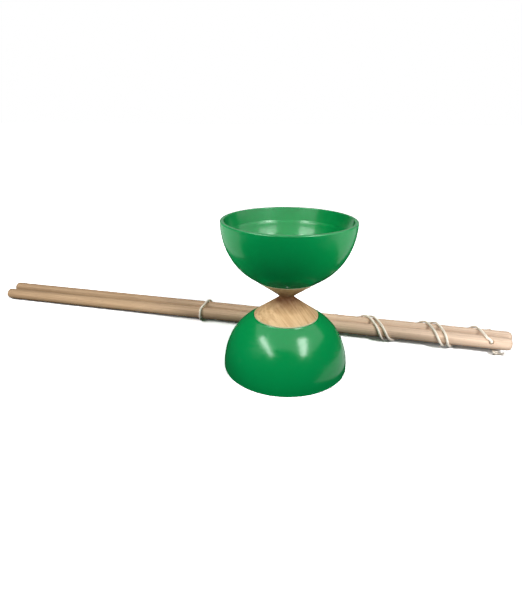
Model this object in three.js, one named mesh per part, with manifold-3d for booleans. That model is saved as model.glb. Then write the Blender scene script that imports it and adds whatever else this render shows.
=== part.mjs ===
// A diabolo (Chinese yo-yo) standing on one cup beside its two hand sticks, which are
// bound together by their own string. Millimetres, +Z up, +X along the sticks, origin at
// the bottom centre of the whole set.
import * as THREE from 'three';
import { mergeVertices } from 'three/addons/utils/BufferGeometryUtils.js';
import Module from 'manifold-3d';

const wasm = await Module();
wasm.setup();

// ---- driving dimensions -------------------------------------------------------------

const GAP = 0.3; // clearance between pieces that touch

// diabolo: two cups screwed to the ends of a turned wooden spool
const DIABOLO_X = 62.6;
const DIABOLO_Y = -13.2;
const DIABOLO_HEIGHT = 106.6;
const CUP_RADIUS = 44.5;
const CUP_HEIGHT = 39.3;
const BOWL_DEPTH = 44.6; // where the outer bowl curve would close on the axis
const BOWL_POWER = 2.15; // 2 is an ellipse, more is squarer
const RIM_WALL = 2.4;
const RIM_DRAFT = 1.5; // the rim's wall thickens by this much down to the step
const LIP_ROUND = 1.6; // outer edge of the rim, beside the flat ring that the cup stands on
const LEDGE_DEPTH = 9.0; // rim to the inner step
const INNER_RADIUS = 40.9; // bowl curve of the inside, past the step
const INNER_DEPTH = 41.4;
const FLOOR_RADIUS = 21.6;
const FLOOR_THICKNESS = 2.6;
const SEAT_DEPTH = 1.2; // recess that centres the spool on the cup
const SEAT_RADIUS = 22.8;
const COLLAR_RADIUS = 23.3;
const SCREW_HOLE_RADIUS = 2.3;
const CUP_SEGMENTS = 48;

// spool
const SPOOL_RADIUS = SEAT_RADIUS - GAP;
const WAIST_RADIUS = 5.2;
const WAIST_ROUND = 1.0;
const RIM_LAND = 0.6; // straight edge at the spool's two ends
const END_CHAMFER = 0.4;
const PILOT_RADIUS = 2.05;
const PILOT_DEPTH = 13.2;

// screw and washer inside each cup
const WASHER_RADIUS = 7;
const WASHER_THICKNESS = 1.2;
const WASHER_HOLE_RADIUS = 2.2;
const HEAD_RADIUS = 3.6;
const HEAD_HEIGHT = 2.4;
const SHANK_RADIUS = 1.25;
const THREAD_RADIUS = 1.7;
const THREAD_PITCH = 1.6;
const THREAD_START = 4;
const SHANK_LENGTH = 15.4;
const POINT_LENGTH = 1.8;
const DRIVE = { length: 4.2, width: 0.9, depth: 1 }; // crossed slot in the head

// hand sticks: x, y, z is the middle, rise and drift are the slope in Z and Y along X
const STICK_RADIUS = 5;
const STICK_LENGTH = 457;
const STICK_END_ROUND = 3;
const FRONT_STICK = { x: -1.1, y: 40.27, z: 7.39, rise: 0.00862, drift: 0 };
const REAR_STICK = { x: 1, y: 50.246, z: 9.232, rise: 0.00319, drift: 0.00098 };

// cross hole at the right end of each stick; its angle is of the mouth the string wraps
// from, 0 towards -Y, 90 up, 180 towards +Y
const HOLE_RADIUS = 1.5;
const MOUTH_RADIUS = 2.7;
const MOUTH_DEPTH = 1.4;
const CUT_OVERRUN = 0.4; // how far a cutter stands out of the wood
const FRONT_HOLE = { x: 212.2, angle: 28.5 };
const REAR_HOLE = { x: 215.6, angle: 145 };

// string
const STRING_RADIUS = 1.0;
const STRING_SIDES = 8;
const STRING_STEP = 2.6;
const WRAP_GAP = 0.2;
const WRAP_RADIUS = STICK_RADIUS + STRING_RADIUS + WRAP_GAP;
const STICK_SPACING = REAR_STICK.y - FRONT_STICK.y;
const LAP = 2 * (Math.PI * WRAP_RADIUS + STICK_SPACING); // once round both sticks
const MOUTH_BEND = 2.0; // radius of the bend out of a hole

// The winding, as [turns, x]. Turns count from under the front stick, up its front, over
// both sticks, down the rear stick's back and under again.
const FIRST_LEG = [
  [0.284, 208.4], [0.542, 203.1], [1.042, 179.9], [1.25, 172.5], [1.542, 165.2],
  [2.042, 134.8], [2.25, 128.2], [2.542, 118.7], [3.042, 80], [3.542, 49],
  [3.68, 35], [3.828, 15], [3.925, -5], [3.975, -16], [4.01, -21.3],
  [4.06, -23.2], [4.17, -23.2], [4.3, -23.1], [4.4, -22.4], [4.542, -21],
];
// the end of the loop, tucked into the groove between the sticks under the first leg
const TUCK = [
  [4.542, -21], [4.68, -19.5], [4.828, -16.5], [4.915, -10], [4.925, -3],
  [4.925, 12], [4.925, 27], [4.915, 35], [4.828, 42], [4.68, 50], [4.542, 57],
];
const SECOND_LEG = [
  [4.542, 57], [4.042, 85], [3.542, 123.7], [3.26, 132.8], [3.042, 140.9],
  [2.542, 173], [2.27, 178.8], [2.042, 184.3], [1.828, 198.5], [1.67, 209.9],
];
// From each stopper knot up into its hole, as [x, y, z] with y and z from the front stick
const FRONT_TAIL = [
  [216.4, -0.2, -7.05], [215.8, 1.2, -7.1], [214.9, 2.9, -6.7], [213.6, 4.4, -5.6],
  [212.6, 5.15, -4.3], [212.2, 5.1, -3.2], [212.2, 4.4, -2.39], [212.2, 2.0, -1.09],
  [212.2, 0, 0],
];
const REAR_TAIL = [
  [216.8, 6.64, -4.88], [216, 6.1, -3.9], [215.6, 5.85, -2.85], [215.6, 6.42, -1.98],
  [215.6, 8.55, -0.49], [215.6, 10.19, 0.66],
];

// stopper knots: half sizes, and the frayed end that lies on the surface beside each
const KNOT = { x: 2.5, y: 2.15, z: 2.2 };
const FRONT_KNOT = { x: 216.5, y: 37.5, z: 2.24, frayAngle: 14 };
const REAR_KNOT = { x: 218.6, y: 48.2, z: 2.24, frayAngle: 12 };
const FRAY = { length: 8, radius: 0.7, tipRadius: 1.1, z: 1.15 };

const COLOUR = {
  plastic: { color: '#00914b', roughness: 0.25, metalness: 0 },
  spoolWood: { color: '#d9b27c', roughness: 0.6, metalness: 0 },
  stickWood: { color: '#d8bb98', roughness: 0.7, metalness: 0 },
  cotton: { color: '#f0ead9', roughness: 0.95, metalness: 0 },
  steel: { color: '#b9bcc0', roughness: 0.35, metalness: 1 },
};

// ---- helpers ------------------------------------------------------------------------

const radians = THREE.MathUtils.degToRad;

function piece(name, geometry, look) {
  const mesh = new THREE.Mesh(geometry, new THREE.MeshStandardMaterial(look));
  mesh.name = name;
  return mesh;
}

// Turns an outline of [radius, height] about Z.
function turned(outline, segments) {
  const points = outline.map(([radius, height]) => new THREE.Vector2(radius, height));
  return new THREE.LatheGeometry(points, segments).rotateX(Math.PI / 2);
}

function toSolid(geometry) {
  const bare = geometry.clone();
  bare.deleteAttribute('normal');
  bare.deleteAttribute('uv');
  const merged = mergeVertices(bare, 1e-5);
  return new wasm.Manifold(new wasm.Mesh({
    numProp: 3,
    vertProperties: new Float32Array(merged.attributes.position.array),
    triVerts: new Uint32Array(merged.index.array),
  }));
}

function toGeometry(solid) {
  const mesh = solid.getMesh();
  const geometry = new THREE.BufferGeometry();
  geometry.setAttribute('position', new THREE.BufferAttribute(mesh.vertProperties, 3));
  geometry.setIndex(new THREE.BufferAttribute(mesh.triVerts, 1));
  geometry.computeVertexNormals();
  return geometry;
}

// A superellipse arc from one angle to another, as [radius, height].
function bowlArc(radius, depth, fromAngle, toAngle, steps) {
  const power = 2 / BOWL_POWER;
  return Array.from({ length: steps + 1 }, (_, i) => {
    const angle = radians(fromAngle + ((toAngle - fromAngle) * i) / steps);
    return [radius * Math.cos(angle) ** power, depth * Math.sin(angle) ** power];
  });
}

// The rounded edge of an end face at height 0 below a wall, as [radius, height].
function roundedEdge(radius, rounding) {
  return [0, 30, 60, 90].map((degrees) => {
    const angle = radians(degrees);
    return [radius - rounding * (1 - Math.sin(angle)), rounding * (1 - Math.cos(angle))];
  });
}

// ---- diabolo ------------------------------------------------------------------------

// A cup with its rim at height 0 and its floor above.
function cupOutline() {
  const seat = CUP_HEIGHT - SEAT_DEPTH;
  const floor = seat - FLOOR_THICKNESS;
  const rimInside = CUP_RADIUS - RIM_WALL;
  return [
    [rimInside, 0],
    ...roundedEdge(CUP_RADIUS, LIP_ROUND),
    ...bowlArc(CUP_RADIUS, BOWL_DEPTH, 8, 59.6, 8),
    [COLLAR_RADIUS, CUP_HEIGHT],
    [SEAT_RADIUS, CUP_HEIGHT],
    [SEAT_RADIUS, seat],
    [SCREW_HOLE_RADIUS, seat],
    [SCREW_HOLE_RADIUS, floor],
    [FLOOR_RADIUS, floor],
    ...bowlArc(INNER_RADIUS, INNER_DEPTH, 54, 12, 6),
    [rimInside - RIM_DRAFT, LEDGE_DEPTH],
    [rimInside, 0],
  ];
}

function makeCup(name, upsideDown) {
  const cup = piece(name, turned(cupOutline(), CUP_SEGMENTS), COLOUR.plastic);
  if (upsideDown) {
    cup.rotation.x = Math.PI;
    cup.position.z = DIABOLO_HEIGHT;
  }
  return cup;
}

// Half the spool, from the blind end of its pilot hole to the waist, measured from the waist.
function spoolHalf() {
  const end = DIABOLO_HEIGHT / 2 - CUP_HEIGHT + SEAT_DEPTH - GAP;
  const coneFoot = end - SEAT_DEPTH - RIM_LAND + GAP;
  const flare = (SPOOL_RADIUS - WAIST_RADIUS) / (Math.hypot(coneFoot, WAIST_ROUND) - WAIST_ROUND);
  const cone = [coneFoot, 3, 1.5, 0.6].map((z) => [
    WAIST_RADIUS + flare * (Math.hypot(z, WAIST_ROUND) - WAIST_ROUND), -z,
  ]);
  return [
    [0, PILOT_DEPTH - end],
    [PILOT_RADIUS, PILOT_DEPTH - end - 1],
    [PILOT_RADIUS, -end],
    [SPOOL_RADIUS - END_CHAMFER, -end],
    [SPOOL_RADIUS, END_CHAMFER - end],
    ...cone,
  ];
}

function makeSpool() {
  const lower = spoolHalf();
  const upper = lower.map(([radius, height]) => [radius, -height]).reverse();
  const outline = [...lower, [WAIST_RADIUS, 0], ...upper];
  const spool = piece('spool', turned(outline, CUP_SEGMENTS), COLOUR.spoolWood);
  spool.position.z = DIABOLO_HEIGHT / 2;
  return spool;
}

function makeWasher(name) {
  const outline = [
    [WASHER_HOLE_RADIUS, 0], [WASHER_RADIUS, 0], [WASHER_RADIUS, WASHER_THICKNESS],
    [WASHER_HOLE_RADIUS, WASHER_THICKNESS], [WASHER_HOLE_RADIUS, 0],
  ];
  return piece(name, turned(outline, 32), COLOUR.steel);
}

// A pan-head wood screw pointing up, the underside of its head at height 0, with a crossed
// slot and one ring for each turn of thread.
function screwGeometry() {
  const outline = [
    [0, -HEAD_HEIGHT], [HEAD_RADIUS * 0.6, -HEAD_HEIGHT * 0.92], [HEAD_RADIUS, -HEAD_HEIGHT * 0.4],
    [HEAD_RADIUS, 0], [SHANK_RADIUS, 0],
  ];
  const threadEnd = SHANK_LENGTH - POINT_LENGTH - THREAD_PITCH / 2;
  for (let z = THREAD_START; z < threadEnd; z += THREAD_PITCH) {
    outline.push([SHANK_RADIUS, z], [THREAD_RADIUS, z + THREAD_PITCH / 4]);
    outline.push([SHANK_RADIUS, z + THREAD_PITCH / 2]);
  }
  outline.push([SHANK_RADIUS, SHANK_LENGTH - POINT_LENGTH], [0, SHANK_LENGTH]);
  let screw = toSolid(turned(outline, 16));
  for (const [length, width] of [[DRIVE.length, DRIVE.width], [DRIVE.width, DRIVE.length]]) {
    const slot = new THREE.BoxGeometry(length, width, 2 * DRIVE.depth).translate(0, 0, -HEAD_HEIGHT);
    screw = screw.subtract(toSolid(slot));
  }
  return toGeometry(screw);
}

function makeFasteners(prefix, upsideDown) {
  const floor = CUP_HEIGHT - SEAT_DEPTH - FLOOR_THICKNESS;
  const fasteners = new THREE.Group();
  const washer = makeWasher(`${prefix}_washer`);
  washer.position.z = floor - GAP - WASHER_THICKNESS;
  const screw = piece(`${prefix}_screw`, screwGeometry(), COLOUR.steel);
  screw.position.z = washer.position.z - GAP;
  fasteners.add(washer, screw);
  if (upsideDown) {
    fasteners.rotation.x = Math.PI;
    fasteners.position.z = DIABOLO_HEIGHT;
  }
  return fasteners;
}

function makeDiabolo() {
  const diabolo = new THREE.Group();
  diabolo.add(makeCup('lower_cup', false), makeCup('upper_cup', true), makeSpool());
  diabolo.add(makeFasteners('lower', false), makeFasteners('upper', true));
  diabolo.position.set(DIABOLO_X, DIABOLO_Y, 0);
  return diabolo;
}

// ---- hand sticks --------------------------------------------------------------------

function axisAt(stick, x) {
  return {
    y: stick.y + stick.drift * (x - stick.x),
    z: stick.z + stick.rise * (x - stick.x),
  };
}

function makeStick(name, stick, hole) {
  const half = STICK_LENGTH / 2;
  const end = [[0, 0], ...roundedEdge(STICK_RADIUS, STICK_END_ROUND)];
  const outline = [
    ...end.map(([radius, inset]) => [radius, inset - half]),
    ...end.reverse().map(([radius, inset]) => [radius, half - inset]),
  ];
  const dowel = turned(outline, 28).rotateY(Math.PI / 2);
  const drill = new THREE.CylinderGeometry(HOLE_RADIUS, HOLE_RADIUS, 4 * STICK_RADIUS, 16);
  const flareLength = MOUTH_DEPTH + CUT_OVERRUN;
  const flareMiddle = STICK_RADIUS + (CUT_OVERRUN - MOUTH_DEPTH) / 2;
  const mouths = [0, Math.PI].map((turn) => (
    new THREE.CylinderGeometry(MOUTH_RADIUS, HOLE_RADIUS, flareLength, 16)
      .translate(0, flareMiddle, 0)
      .rotateX(turn)
  ));
  let solid = toSolid(dowel);
  for (const cutter of [drill, ...mouths]) {
    // the cutter's +Y axis turns to the mouth's angle, 0 towards -Y and 90 up
    cutter.rotateX(radians(180 - hole.angle)).translate(hole.x - stick.x, 0, 0);
    solid = solid.subtract(toSolid(cutter));
  }
  const mesh = piece(name, toGeometry(solid), COLOUR.stickWood);
  mesh.rotation.set(0, -Math.atan(stick.rise), Math.atan(stick.drift), 'ZYX');
  mesh.position.set(stick.x, stick.y, stick.z);
  return mesh;
}

// ---- string -------------------------------------------------------------------------

// A point at an angle about a stick's axis, 0 towards -Y and 90 up.
function around(stick, x, angle, radius) {
  const axis = axisAt(stick, x);
  return new THREE.Vector3(x, axis.y - radius * Math.cos(angle), axis.z + radius * Math.sin(angle));
}

// A point of the taut winding. A tucked stretch follows the rear stick into the lower groove.
function windingPoint(turns, x, tucked) {
  const front = axisAt(FRONT_STICK, x);
  const rear = axisAt(REAR_STICK, x);
  const lean = Math.atan2(rear.z - front.z, rear.y - front.y);
  const arc = (Math.PI * WRAP_RADIUS) / LAP; // turns spent round one stick
  const part = turns - Math.floor(turns);
  const top = Math.PI / 2 - lean;
  const frontTop = around(FRONT_STICK, x, top, WRAP_RADIUS);
  const rearTop = around(REAR_STICK, x, top, WRAP_RADIUS);
  const rearFoot = around(REAR_STICK, x, top + Math.PI, WRAP_RADIUS);
  const frontFoot = around(FRONT_STICK, x, top + Math.PI, WRAP_RADIUS);
  if (part < arc) {
    return around(FRONT_STICK, x, top - Math.PI + (part / arc) * Math.PI, WRAP_RADIUS);
  }
  if (part < 0.5) return frontTop.lerp(rearTop, (part - arc) / (0.5 - arc));
  if (part < 0.5 + arc || tucked) {
    return around(REAR_STICK, x, top + ((part - 0.5) / arc) * Math.PI, WRAP_RADIUS);
  }
  return rearFoot.lerp(frontFoot, (part - 0.5 - arc) / (0.5 - arc));
}

// A leg of the winding: a smooth line on the unrolled surface, laid round the sticks.
function windingPoints(keys, tucked = false) {
  const unrolled = new THREE.CatmullRomCurve3(
    keys.map(([turns, x]) => new THREE.Vector3(turns * LAP, x, 0)), false, 'centripetal');
  unrolled.arcLengthDivisions = 2000;
  const steps = Math.round(unrolled.getLength() / STRING_STEP);
  return unrolled.getSpacedPoints(steps).map((p) => windingPoint(p.x / LAP, p.y, tucked));
}

// The bend from a hole's axis into the winding, which leaves at x per unit of girth.
function mouthBend(stick, hole, slope) {
  const sideways = 1 / Math.hypot(1, slope);
  return [0, 30, 60, 85].map((degrees) => {
    const bend = radians(degrees);
    const radius = WRAP_RADIUS - MOUTH_BEND * (1 - Math.sin(bend));
    const along = MOUTH_BEND * (1 - Math.cos(bend));
    const angle = radians(hole.angle) + (along * sideways) / radius;
    return around(stick, hole.x + along * sideways * slope, angle, radius);
  });
}

function tailPoints(tail) {
  return tail.map(([x, y, z]) => {
    const axis = axisAt(FRONT_STICK, x);
    return new THREE.Vector3(x, axis.y + y, axis.z + z);
  });
}

function stringRoute() {
  return [
    ...tailPoints(FRONT_TAIL),
    ...mouthBend(FRONT_STICK, FRONT_HOLE, -0.95),
    ...windingPoints(FIRST_LEG),
    ...windingPoints(TUCK, true).slice(1),
    ...windingPoints(SECOND_LEG).slice(1),
    ...mouthBend(REAR_STICK, REAR_HOLE, -1.35).reverse(),
    ...tailPoints(REAR_TAIL).reverse(),
  ];
}

function makeString() {
  const route = new THREE.CatmullRomCurve3(stringRoute(), false, 'centripetal');
  route.arcLengthDivisions = 6000;
  const section = new THREE.Shape(Array.from({ length: STRING_SIDES }, (_, i) => {
    const angle = (2 * Math.PI * (i + 0.5)) / STRING_SIDES;
    return new THREE.Vector2(STRING_RADIUS * Math.cos(angle), STRING_RADIUS * Math.sin(angle));
  }));
  const tube = new THREE.ExtrudeGeometry(section, {
    steps: Math.round(route.getLength() / STRING_STEP), extrudePath: route,
  });
  return piece('string', tube, COLOUR.cotton);
}

// A stopper knot with its frayed end, which points along +X.
function makeKnot(name, place) {
  const ball = new THREE.SphereGeometry(1, 16, 10).scale(KNOT.x, KNOT.y, KNOT.z);
  const fray = new THREE.CylinderGeometry(FRAY.tipRadius, FRAY.radius, FRAY.length, 8)
    .rotateZ(-Math.PI / 2)
    .translate(FRAY.length / 2, 0, 0)
    .rotateZ(radians(place.frayAngle))
    .translate(0, 0, FRAY.z - place.z);
  const knot = toSolid(ball).add(toSolid(fray));
  const mesh = piece(name, toGeometry(knot), COLOUR.cotton);
  mesh.position.set(place.x, place.y, place.z);
  return mesh;
}

// ---- the set ------------------------------------------------------------------------

const set = new THREE.Group();
set.add(
  makeDiabolo(),
  makeStick('front_stick', FRONT_STICK, FRONT_HOLE),
  makeStick('rear_stick', REAR_STICK, REAR_HOLE),
  makeString(),
  makeKnot('front_knot', FRONT_KNOT),
  makeKnot('rear_knot', REAR_KNOT),
);

export default set;
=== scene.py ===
"""Looks of a diabolo set: two green cups on a wooden spool, and two hand sticks bound by a string."""
import math
import random

import bmesh
import bpy
import numpy as np
from mathutils import Euler, Matrix, Vector


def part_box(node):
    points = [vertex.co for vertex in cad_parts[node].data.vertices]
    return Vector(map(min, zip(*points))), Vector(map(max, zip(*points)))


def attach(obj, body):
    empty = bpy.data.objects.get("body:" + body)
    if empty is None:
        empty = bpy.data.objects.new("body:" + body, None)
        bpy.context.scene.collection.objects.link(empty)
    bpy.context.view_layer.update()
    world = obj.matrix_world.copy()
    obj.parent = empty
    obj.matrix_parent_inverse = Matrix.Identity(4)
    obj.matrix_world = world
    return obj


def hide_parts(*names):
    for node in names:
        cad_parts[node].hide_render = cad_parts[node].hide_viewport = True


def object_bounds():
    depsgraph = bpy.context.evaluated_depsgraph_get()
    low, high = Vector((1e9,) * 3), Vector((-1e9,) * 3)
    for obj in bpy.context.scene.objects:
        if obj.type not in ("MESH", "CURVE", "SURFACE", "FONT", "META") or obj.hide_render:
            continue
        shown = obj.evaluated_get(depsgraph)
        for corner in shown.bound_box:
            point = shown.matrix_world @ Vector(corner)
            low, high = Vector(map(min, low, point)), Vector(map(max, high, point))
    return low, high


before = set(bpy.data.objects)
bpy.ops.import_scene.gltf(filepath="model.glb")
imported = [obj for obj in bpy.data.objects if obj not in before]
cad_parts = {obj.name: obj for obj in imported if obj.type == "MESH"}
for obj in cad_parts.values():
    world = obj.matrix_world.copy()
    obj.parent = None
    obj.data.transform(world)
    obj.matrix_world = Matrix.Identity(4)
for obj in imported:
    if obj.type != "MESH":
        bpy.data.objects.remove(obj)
cad_low, cad_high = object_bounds()

MM = 0.001

# ---- dimensions of the set, in metres, nearly all as in the CAD model ---------------------

CUP_RADIUS = 44.5 * MM
CUP_HEIGHT = 39.3 * MM
BOWL_DEPTH = 44.6 * MM
BOWL_POWER = 2.15
RIM_WALL = 2.4 * MM
RIM_DRAFT = 1.5 * MM
LIP_ROUND = 0.8 * MM  # crisper than the CAD model's 1.6 mm
LEDGE_DEPTH = 9.0 * MM
LEDGE_FALL = 1.2 * MM
INNER_RADIUS = 40.9 * MM
INNER_DEPTH = 41.4 * MM
FLOOR_RADIUS = 21.6 * MM
FLOOR_THICKNESS = 2.6 * MM
SEAT_DEPTH = 1.2 * MM
SEAT_RADIUS = 22.8 * MM
COLLAR_RADIUS = 23.3 * MM
SCREW_HOLE_RADIUS = 2.3 * MM
RIM_INNER_ROUND = 0.55 * MM
COLLAR_OUTER_ROUND = 0.2 * MM
COLLAR_INNER_ROUND = 0.15 * MM
SCREW_HOLE_ROUND = 0.2 * MM
FLOOR_ROUND = 0.8 * MM
LEDGE_STEP = 0.2 * MM
LEDGE_OUTER_ROUND = 0.12 * MM
LEDGE_INNER_ROUND = 0.3 * MM

WAIST_RADIUS = 5.2 * MM
WAIST_ROUND = 1.0 * MM
RIM_LAND = 0.6 * MM
PILOT_RADIUS = 2.05 * MM
PILOT_DEPTH = 13.2 * MM
PILOT_POINT = 1 * MM
SPOOL_CHAMFER = 0.4 * MM
SPOOL_CHAMFER_BULGE = 0.12 * MM
GAP = 0.3 * MM

WASHER_RADIUS = 7 * MM
WASHER_HOLE_RADIUS = 2.2 * MM
WASHER_THICKNESS = 1.2 * MM
WASHER_EDGE = 0.18 * MM
HEAD_RADIUS = 3.6 * MM
HEAD_HEIGHT = 2.4 * MM
HEAD_SIDE = 0.45  # shares of the head's height
HEAD_DOME = 0.55
HEAD_EDGE = 0.15 * MM
SHANK_RADIUS = 1.25 * MM
THREAD_RADIUS = 1.7 * MM
THREAD_PITCH = 1.6 * MM
THREAD_START = 4 * MM
THREAD_HALF = 0.25  # half of a ridge's width, as a share of the pitch
SHANK_LENGTH = 15.4 * MM
POINT_LENGTH = 1.8 * MM
POINT_TIP = 0.05 * MM
DRIVE_LENGTH = 4.2 * MM
DRIVE_WIDTH = 0.9 * MM
DRIVE_DEPTH = 1.0 * MM
DRIVE_NARROWING = 0.8

STICK_RADIUS = 5 * MM
STICK_LENGTH = 457 * MM
STICK_END_ROUND = 3 * MM
STICK_UNEVENNESS = 0.0022  # as a share of the radius
HOLE_RADIUS = 1.5 * MM
MOUTH_RADIUS = 2.7 * MM
MOUTH_DEPTH = 1.4 * MM
FLARE_POWER = 0.8
# middle of each stick's axis, and its slope in Z and Y along X
FRONT_STICK = {"middle": Vector((-0.0011, 0.04027, 0.00739)), "rise": 0.00862, "drift": 0.0}
REAR_STICK = {"middle": Vector((0.001, 0.050246, 0.009232)), "rise": 0.00319, "drift": 0.00098}
# cross holes: the angle is of the mouth the string wraps from, 0 towards -Y and 90 up, and
# the slope is how far the string moves in X for each unit of girth as it leaves the mouth
FRONT_HOLE = {"x": 0.2122, "angle": math.radians(28.5), "slope": -0.95}
REAR_HOLE = {"x": 0.2156, "angle": math.radians(145), "slope": -1.35}

STRING_RADIUS = 1.0 * MM
WRAP_RADIUS = STICK_RADIUS + STRING_RADIUS + 0.2 * MM
STICK_SPACING = REAR_STICK["middle"].y - FRONT_STICK["middle"].y
LAP = 2 * (math.pi * WRAP_RADIUS + STICK_SPACING)
MOUTH_BEND = 2.0 * MM
WINDING_STEP = 1.2 * MM
ROUTE_STEP = 0.5 * MM

# The winding, as (turns, x). Turns count from under the front stick, up its front, over both
# sticks, down the rear stick's back and under again.
FIRST_LEG = (
    (0.284, 0.2084), (0.542, 0.2031), (1.042, 0.1799), (1.25, 0.1725), (1.542, 0.1652),
    (2.042, 0.1348), (2.25, 0.1282), (2.542, 0.1187), (3.042, 0.08), (3.542, 0.049),
    (3.68, 0.035), (3.828, 0.015), (3.925, -0.005), (3.975, -0.016), (4.01, -0.0213),
    (4.06, -0.0232), (4.17, -0.0232), (4.3, -0.0231), (4.4, -0.0224), (4.542, -0.021),
)
# the end of the loop, tucked into the groove between the sticks under the first leg
TUCK = (
    (4.542, -0.021), (4.68, -0.0195), (4.828, -0.0165), (4.915, -0.01), (4.925, -0.003),
    (4.925, 0.012), (4.925, 0.027), (4.915, 0.035), (4.828, 0.042), (4.68, 0.05), (4.542, 0.057),
)
SECOND_LEG = (
    (4.542, 0.057), (4.042, 0.085), (3.542, 0.1237), (3.26, 0.1328), (3.042, 0.1409),
    (2.542, 0.173), (2.27, 0.1788), (2.042, 0.1843), (1.828, 0.1985), (1.67, 0.2099),
)
# from each stopper knot up into its hole, with y and z from the front stick's axis
FRONT_TAIL = (
    (0.2164, -0.0002, -0.00705), (0.2158, 0.0012, -0.0071), (0.2149, 0.0029, -0.0067),
    (0.2136, 0.0044, -0.0056), (0.2126, 0.00515, -0.0043), (0.2122, 0.0051, -0.0032),
    (0.2122, 0.0044, -0.00239), (0.2122, 0.0020, -0.00109), (0.2122, 0, 0),
)
REAR_TAIL = (
    (0.2168, 0.00664, -0.00488), (0.216, 0.0061, -0.0039), (0.2156, 0.00585, -0.00285),
    (0.2156, 0.00642, -0.00198), (0.2156, 0.00855, -0.00049), (0.2156, 0.01019, 0.00066),
)

# ---- camera -------------------------------------------------------------------------------

CAMERA_PLACE = (0.1127, -0.2839, 0.1639)
CAMERA_AZIMUTH = math.radians(14.185)
CAMERA_PITCH = math.radians(23.186)
CAMERA_ROLL = math.radians(0.2)
CAMERA_LENS = 25.153


def add_camera():
    """The photograph's view: from in front and above, turned a little to the left."""
    level = Vector((-math.sin(CAMERA_AZIMUTH), math.cos(CAMERA_AZIMUTH), 0))
    forward = level * math.cos(CAMERA_PITCH) - Vector((0, 0, math.sin(CAMERA_PITCH)))
    side = forward.cross(Vector((0, 0, 1))).normalized()
    above = side.cross(forward)
    right = side * math.cos(CAMERA_ROLL) + above * math.sin(CAMERA_ROLL)
    up = above * math.cos(CAMERA_ROLL) - side * math.sin(CAMERA_ROLL)
    turn = Matrix((right, up, -forward)).transposed().to_4x4()
    data = bpy.data.cameras.new("camera")
    data.lens = CAMERA_LENS
    camera = bpy.data.objects.new("camera", data)
    camera.matrix_world = Matrix.Translation(CAMERA_PLACE) @ turn
    bpy.context.scene.collection.objects.link(camera)
    bpy.context.scene.camera = camera


# ---- mesh helpers -------------------------------------------------------------------------

SHARP_ANGLE = math.radians(40)
FILLET_STEP = math.radians(9)


def make_object(name, vertices, faces, sharp_angle=SHARP_ANGLE):
    """A smooth-shaded mesh whose faces point out; edges sharper than sharp_angle stay crisp."""
    mesh = bpy.data.meshes.new(name)
    mesh.from_pydata([tuple(v) for v in vertices], [], faces)
    work = bmesh.new()
    work.from_mesh(mesh)
    bmesh.ops.recalc_face_normals(work, faces=work.faces)
    work.to_mesh(mesh)
    work.free()
    mesh.shade_smooth()
    mesh.set_sharp_from_angle(angle=sharp_angle)
    made = bpy.data.objects.new(name, mesh)
    bpy.context.scene.collection.objects.link(made)
    return made


def fillet_points(before, here, after, fillet):
    """Points of the arc that rounds the corner at here, between two other corners."""
    back = (before - here).normalized()
    ahead = (after - here).normalized()
    half = back.angle(ahead) / 2
    reach = fillet / math.tan(half)
    centre = here + (back + ahead).normalized() * (fillet / math.sin(half))
    start = here + back * reach - centre
    end = here + ahead * reach - centre
    sweep = start.angle_signed(end)
    steps = max(3, math.ceil(abs(sweep) / FILLET_STEP))
    turns = [Matrix.Rotation(-sweep * step / steps, 2) for step in range(steps + 1)]
    return [centre + turn @ start for turn in turns]


def rounded(corners):
    """A closed outline of (radius, height) from corners of (radius, height, fillet)."""
    places = [Vector(corner[:2]) for corner in corners]
    outline = []
    for i, here in enumerate(places):
        fillet = corners[i][2]
        if fillet:
            outline += fillet_points(places[i - 1], here, places[(i + 1) % len(places)], fillet)
        else:
            outline.append(here)
    return [(p.x, p.y) for p in outline]


def circle(centre, radius, z, segments):
    """A level ring of points at height z, or the one point on the axis where there is no radius."""
    if radius < 1e-9:
        return [(centre.x, centre.y, z)]
    angles = [2 * math.pi * k / segments for k in range(segments)]
    return [(centre.x + radius * math.cos(a), centre.y + radius * math.sin(a), z) for a in angles]


def ringed(rows, closed=False):
    """Vertices and faces from rows of points; a row of one point is a pole."""
    vertices, rings = [], []
    for row in rows:
        rings.append(list(range(len(vertices), len(vertices) + len(row))))
        vertices.extend(row)
    pairs = list(zip(rings, rings[1:]))
    if closed:
        pairs.append((rings[-1], rings[0]))
    return vertices, ring_faces(pairs)


def lathe(name, outline, segments, centre, closed=True, flip=False):
    """Turns an outline of (radius, height) about the vertical axis at centre."""
    upright = -1 if flip else 1
    rows = [circle(centre, radius, centre.z + upright * height, segments) for radius, height in outline]
    return make_object(name, *ringed(rows, closed))


def ring_faces(pairs):
    """Faces between pairs of vertex rings; a ring of one vertex is a pole."""
    faces = []
    for low, high in pairs:
        count = max(len(low), len(high))
        for k in range(count):
            a, b = low[k % len(low)], low[(k + 1) % len(low)]
            d, c = high[k % len(high)], high[(k + 1) % len(high)]
            faces.append(tuple(dict.fromkeys((a, b, c, d))))
    return [face for face in faces if len(face) > 2]


def cut(target, cutter):
    """Takes the cutter's shape out of the target, and removes the cutter."""
    boolean = target.modifiers.new("cut", "BOOLEAN")
    boolean.operation = "DIFFERENCE"
    boolean.solver = "EXACT"
    boolean.object = cutter
    bpy.context.view_layer.update()
    graph = bpy.context.evaluated_depsgraph_get()
    result = bpy.data.meshes.new_from_object(target.evaluated_get(graph))
    target.modifiers.clear()
    target.data = result
    result.name = target.name
    bpy.data.objects.remove(cutter)


def finish_piece(piece, body, material, node):
    """Names the piece after its CAD node, and gives it its body and material."""
    piece.name = node + "_fine"
    piece.data.materials.clear()
    piece.data.materials.append(material)
    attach(piece, body)
    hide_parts(node)
    return piece


# ---- string route -------------------------------------------------------------------------


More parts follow.
